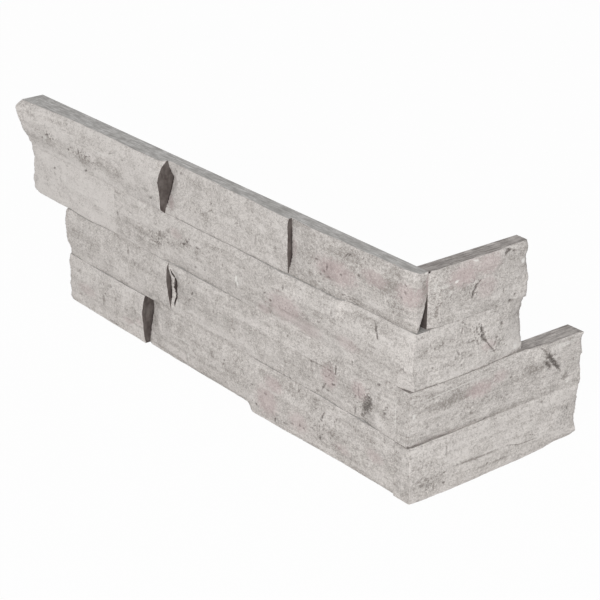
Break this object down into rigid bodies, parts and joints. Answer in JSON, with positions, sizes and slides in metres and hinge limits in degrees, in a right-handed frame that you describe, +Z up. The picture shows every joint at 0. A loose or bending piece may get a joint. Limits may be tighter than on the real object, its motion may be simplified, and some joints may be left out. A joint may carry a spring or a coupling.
{
  "type": "stacked stone corner panel",
  "caption": "L-shaped wall cladding corner of split-face marble strips glued in courses, with flat sawn backs and beds and stepped ends that interlock with the next panel.",
  "frame": {"origin": "middle of the panel's own box, on the level floor that its bottom bed stands on", "axes": "+X along the long leg towards the corner, +Y along the short leg away from the corner and out of the long leg's sawn back, +Z up"},
  "size_m": [0.4548, 0.1596, 0.1524],
  "materials": {
    "split_marble": "split face, matte, with sawn backs, beds and ends"
  },
  "bodies": {
    "root": {"top_row_left_strip": "split_marble", "top_row_middle_strip": "split_marble", "top_row_corner_strip": "split_marble", "top_row_return_strip": "split_marble", "second_row_left_strip": "split_marble", "second_row_corner_strip": "split_marble", "second_row_return_strip": "split_marble", "third_row_left_strip": "split_marble", "third_row_corner_strip": "split_marble", "third_row_return_strip": "split_marble", "bottom_row_left_strip": "split_marble", "bottom_row_corner_strip": "split_marble", "bottom_row_return_strip": "split_marble"}
  },
  "joints": []
}
